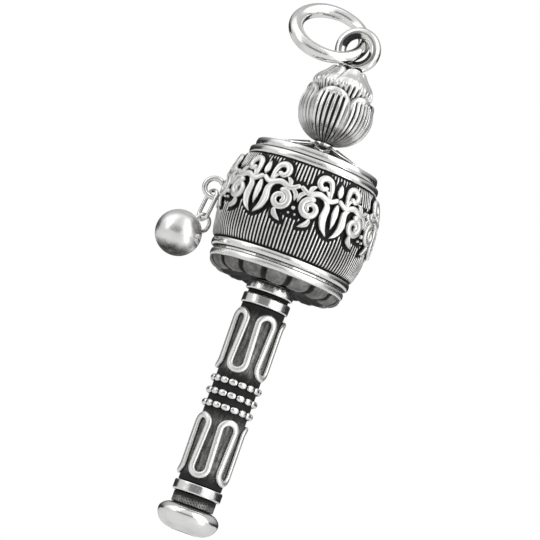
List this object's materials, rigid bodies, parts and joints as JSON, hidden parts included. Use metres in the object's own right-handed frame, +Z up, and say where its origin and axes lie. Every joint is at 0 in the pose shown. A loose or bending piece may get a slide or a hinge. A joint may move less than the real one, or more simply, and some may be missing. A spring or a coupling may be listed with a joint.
{
  "type": "prayer wheel",
  "caption": "Pendant prayer wheel: a ribbed drum with raised scrollwork spins on a slim handle, with a lotus bud and hanging ring on top and a ball weight on a chain at its side.",
  "frame": {"origin": "middle of the grip, on the spindle axis", "axes": "+Z up along the spindle from the grip to the hanging eye; -X towards the eyelet that carries the chain and the ball weight"},
  "size_m": [0.0211, 0.0164, 0.0556],
  "materials": {
    "polished_silver": "polished silver, worn bright on its high places",
    "satin_silver": "satin silver with darkened lines",
    "oxidised_silver": "blackened silver",
    "brass": "turned",
    "scroll_paper": "matt",
    "cotton_thread": "twisted thread"
  },
  "bodies": {
    "handle": {"spindle_rod": "satin_silver", "grip_core": "oxidised_silver", "grip_wire_upper": "satin_silver", "grip_wire_lower": "satin_silver", "bead_row_upper": "polished_silver", "bead_row_middle": "polished_silver", "bead_row_lower": "polished_silver", "grip_collar": "polished_silver", "collar_spacer": "oxidised_silver", "top_collar": "polished_silver", "thrust_washer": "satin_silver", "end_collar": "polished_silver", "pommel_neck": "oxidised_silver", "pommel": "polished_silver", "bud_washer": "satin_silver", "bud_outer_petals": "satin_silver", "bud_inner_petals": "satin_silver", "eye": "polished_silver"},
    "drum": {"lotus_base": "oxidised_silver", "base_bead": "satin_silver", "bottom_plate": "oxidised_silver", "bottom_rim": "polished_silver", "drum_wall": "oxidised_silver", "top_rim": "polished_silver", "lid": "oxidised_silver", "lid_rim": "polished_silver", "lid_star": "polished_silver", "lower_bush": "brass", "upper_bush": "brass", "core_tube": "satin_silver", "paper_scroll": "scroll_paper", "scroll_tie": "cotton_thread", "sprig_01": "satin_silver", "sprig_02": "satin_silver", "sprig_03": "satin_silver", "sprig_04": "satin_silver", "sprig_05": "satin_silver", "sprig_06": "satin_silver", "sprig_07": "satin_silver", "sprig_08": "satin_silver", "sprig_09": "satin_silver", "sprig_10": "satin_silver", "sprig_11": "satin_silver", "sprig_12": "satin_silver", "side_eyelet": "polished_silver"},
    "hanging_ring": {"hanging_ring": "polished_silver"},
    "chain_link": {"chain_link": "polished_silver"},
    "chain_ring": {"chain_ring": "polished_silver"},
    "weight": {"weight_ball": "satin_silver", "ball_eye": "polished_silver"}
  },
  "joints": [
    {"name": "drum_spin", "type": "hinge", "parent": "handle", "child": "drum", "pos_m": [0, 0, 0.019], "axis": [0, 0, 1], "continuous": true},
    {"name": "ring_swing", "type": "hinge", "parent": "handle", "child": "hanging_ring", "pos_m": [0, 0, 0.03725], "axis": [0.2588, 0.9659, 0], "range_deg": [0, 155]},
    {"name": "link_swing", "type": "hinge", "parent": "drum", "child": "chain_link", "pos_m": [-0.0088, 0, 0.01915], "axis": [0, 1, 0], "range_deg": [-2, 80]},
    {"name": "chain_ring_swing", "type": "hinge", "parent": "chain_link", "child": "chain_ring", "pos_m": [-0.009, 0, 0.0157], "axis": [0.5985, -0.7986, -0.0629], "range_deg": [-25, 5]},
    {"name": "weight_swing", "type": "hinge", "parent": "chain_ring", "child": "weight", "pos_m": [-0.00936, -0.00021, 0.01493], "axis": [0.4186, 0.3787, -0.8254], "range_deg": [-10, 25]}
  ]
}
